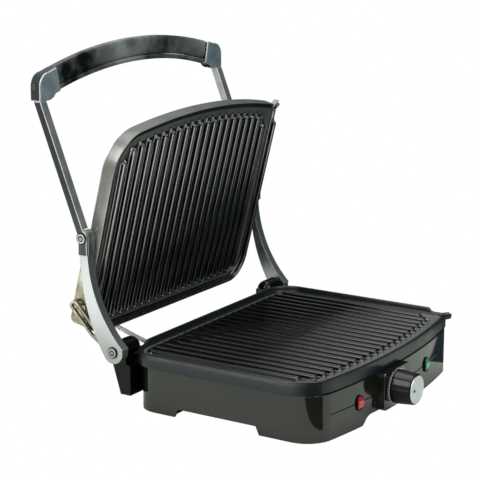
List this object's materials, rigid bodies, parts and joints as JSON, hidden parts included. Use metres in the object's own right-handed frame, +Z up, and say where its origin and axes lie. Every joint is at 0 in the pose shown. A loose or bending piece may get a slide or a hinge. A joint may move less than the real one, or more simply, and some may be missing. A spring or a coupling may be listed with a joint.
{
  "type": "sandwich toaster",
  "caption": "Countertop sandwich toaster with ribbed cast plates, a floating lid on curved side arms, a bowed handle, a front dial and indicator lamps.",
  "frame": {"origin": "middle of the open toaster's bounding box, on the counter", "axes": "+Z up, -Y towards the user at the dial side, +X to the user's right"},
  "size_m": [0.3286, 0.3546, 0.353],
  "materials": {
    "housing_gloss": "gloss",
    "black_gloss": "gloss",
    "black_matte": "matt",
    "foot_rubber": "matt",
    "silver_trim": "satin",
    "red_lens": "clear gloss",
    "green_lens": "clear gloss",
    "plate_coating": "satin non-stick",
    "arm_paint": "satin",
    "bar_steel": "satin",
    "cap_metal": "polished",
    "grip_black": "satin",
    "bracket_steel": "satin",
    "heater_tube": "matt",
    "sheet_metal": "mill",
    "fastener_steel": "satin",
    "hood_paint": "satin",
    "pale_insulator": "matt",
    "lead_sleeve": "braided"
  },
  "bodies": {
    "base": {"base_housing": "housing_gloss", "base_bottom_cover": "black_matte", "base_screws": "fastener_steel", "rubber_feet": "foot_rubber", "control_bezel": "black_gloss", "dial_ring": "silver_trim", "thermostat_body": "pale_insulator", "lamp_bezels": "black_gloss", "power_lamp": "red_lens", "ready_lamp": "green_lens", "lower_grill_plate": "plate_coating", "lower_heater": "heater_tube", "lower_heat_shield": "sheet_metal", "plate_screws": "fastener_steel", "thermal_fuse": "sheet_metal", "terminal_block": "pale_insulator", "mains_gland": "black_matte", "lower_lead_gland": "black_matte", "heater_lead": "lead_sleeve", "hinge_bracket_left": "black_matte", "hinge_bracket_right": "black_matte", "hinge_bolts": "bracket_steel"},
    "knob": {"knob_shell": "black_gloss", "knob_face": "silver_trim", "thermostat_shaft": "fastener_steel"},
    "link": {"tilt_link": "bracket_steel"},
    "arms": {"arm_left": "arm_paint", "arm_right": "arm_paint", "handle_bar_left": "bar_steel", "handle_bar_right": "bar_steel", "handle_cap_left": "cap_metal", "handle_cap_right": "cap_metal", "handle_grip": "grip_black", "handle_grip_strip": "grip_black", "cap_screws": "bar_steel"},
    "lid": {"upper_grill_plate": "plate_coating", "upper_heater": "heater_tube", "lid_chassis": "sheet_metal", "lid_screws": "fastener_steel", "lid_hood": "hood_paint", "upper_lead_gland": "black_matte", "lid_bracket_left": "bracket_steel", "lid_bracket_right": "bracket_steel", "bracket_screws": "fastener_steel", "lid_pivot_screws": "bracket_steel", "tilt_pin": "bracket_steel"}
  },
  "joints": [
    {"name": "arm_swing", "type": "hinge", "parent": "base", "child": "arms", "pos_m": [0, 0.08432, 0.062], "axis": [1, 0, 0], "range_deg": [0, 96.15], "deforming": ["heater_lead"]},
    {"name": "lid_tilt", "type": "hinge", "parent": "arms", "child": "lid", "pos_m": [0, 0.11755, 0.17418], "axis": [1, 0, 0], "range_deg": [-20.16, 0]},
    {"name": "link_swing", "type": "hinge", "parent": "base", "child": "link", "pos_m": [-0.154, 0.08592, 0.0612], "axis": [1, 0, 0], "range_deg": [0, 117.6]},
    {"name": "knob_turn", "type": "hinge", "parent": "base", "child": "knob", "pos_m": [-0.012, -0.15548, 0.029], "axis": [0, -1, 0], "range_deg": [0, 280]}
  ],
  "couplings": [
    {"joint": "lid_tilt", "follows": "arm_swing", "ratio": -0.20958},
    {"joint": "link_swing", "follows": "arm_swing", "ratio": 1.222}
  ]
}
